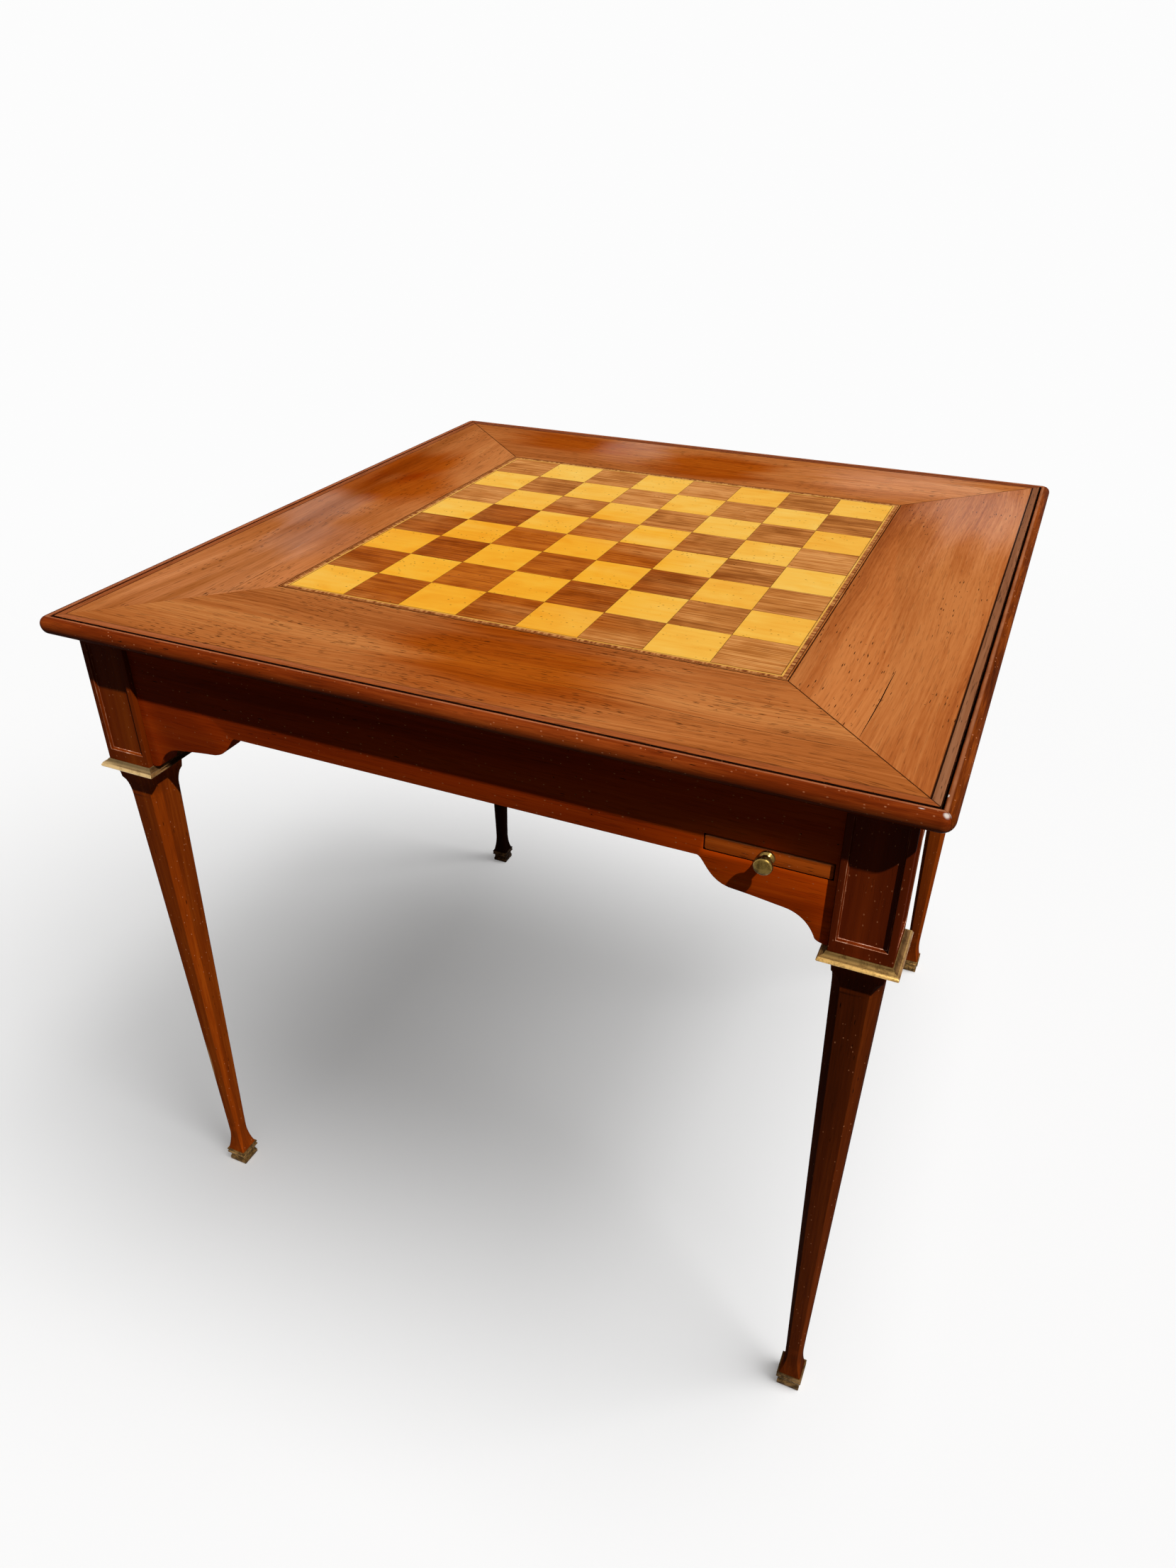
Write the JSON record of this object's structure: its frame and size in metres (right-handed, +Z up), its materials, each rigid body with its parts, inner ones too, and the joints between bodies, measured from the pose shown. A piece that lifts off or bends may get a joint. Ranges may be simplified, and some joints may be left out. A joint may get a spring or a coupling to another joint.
{
  "type": "tric trac table",
  "caption": "Square games table with a lift-off chequered top over a backgammon well, pull-out candle slides and tapered legs with brass collars and shoes.",
  "frame": {"origin": "on the floor, under the middle of the table", "axes": "+Z up, -Y towards the front, where the pictured candle slide pulls out, +X to the right of a person facing the front"},
  "size_m": [0.806, 0.806, 0.7451],
  "materials": {
    "top_wood": "French polished cherry, satin gloss",
    "frame_wood": "French polished cherry, stained dark red brown",
    "light_veneer": "polished boxwood or lemonwood veneer, golden",
    "dark_veneer": "polished walnut or rosewood veneer",
    "dark_line": "ebonised stringing",
    "well_ground": "dark stained veneer",
    "inner_wood": "plain softwood and beech",
    "baize": "green wool baize",
    "brass": "aged brass",
    "steel": "dull steel"
  },
  "bodies": {
    "table_frame": {"leg_front_left": "frame_wood", "leg_front_right": "frame_wood", "leg_back_right": "frame_wood", "leg_back_left": "frame_wood", "collar_front_left": "brass", "collar_front_right": "brass", "collar_back_right": "brass", "collar_back_left": "brass", "shoe_front_left": "brass", "shoe_front_right": "brass", "shoe_back_right": "brass", "shoe_back_left": "brass", "apron_front": "frame_wood", "apron_right": "frame_wood", "apron_back": "frame_wood", "apron_left": "frame_wood", "locating_pin_front_left": "inner_wood", "locating_pin_front_right": "inner_wood", "locating_pin_back_left": "inner_wood", "locating_pin_back_right": "inner_wood", "well_floor": "inner_wood", "well_veneer_left": "well_ground", "well_veneer_right": "well_ground", "well_rail_front": "frame_wood", "well_rail_right": "frame_wood", "well_rail_back": "frame_wood", "well_rail_left": "frame_wood", "well_rim_front": "frame_wood", "well_rim_right": "frame_wood", "well_rim_back": "frame_wood", "well_rim_left": "frame_wood", "centre_bar": "frame_wood", "front_runner_tray": "inner_wood", "back_runner_tray": "inner_wood", "front_tray_screw_left": "steel", "front_tray_screw_right": "steel", "back_tray_screw_left": "steel", "back_tray_screw_right": "steel"},
    "lift_off_top": {"chequer_veneer": "light_veneer", "light_string": "light_veneer", "cross_band": "frame_wood", "dark_string": "dark_line", "board_core": "inner_wood", "baize": "baize", "border_front": "top_wood", "border_right": "top_wood", "border_back": "top_wood", "border_left": "top_wood", "edge_moulding_front": "frame_wood", "edge_moulding_right": "frame_wood", "edge_moulding_back": "frame_wood", "edge_moulding_left": "frame_wood"},
    "front_slide": {"front_slide_facing": "frame_wood", "front_slide_board": "frame_wood", "front_slide_stop": "inner_wood", "front_slide_knob": "brass"},
    "back_slide": {"back_slide_facing": "frame_wood", "back_slide_board": "frame_wood", "back_slide_stop": "inner_wood", "back_slide_knob": "brass"}
  },
  "joints": [
    {"name": "top_lift", "type": "slide", "parent": "table_frame", "child": "lift_off_top", "axis": [0, 0, 1], "range_m": [0, 0.15]},
    {"name": "front_slide_pull", "type": "slide", "parent": "table_frame", "child": "front_slide", "axis": [0, -1, 0], "range_m": [0, 0.19]},
    {"name": "back_slide_pull", "type": "slide", "parent": "table_frame", "child": "back_slide", "axis": [0, 1, 0], "range_m": [0, 0.19]}
  ]
}
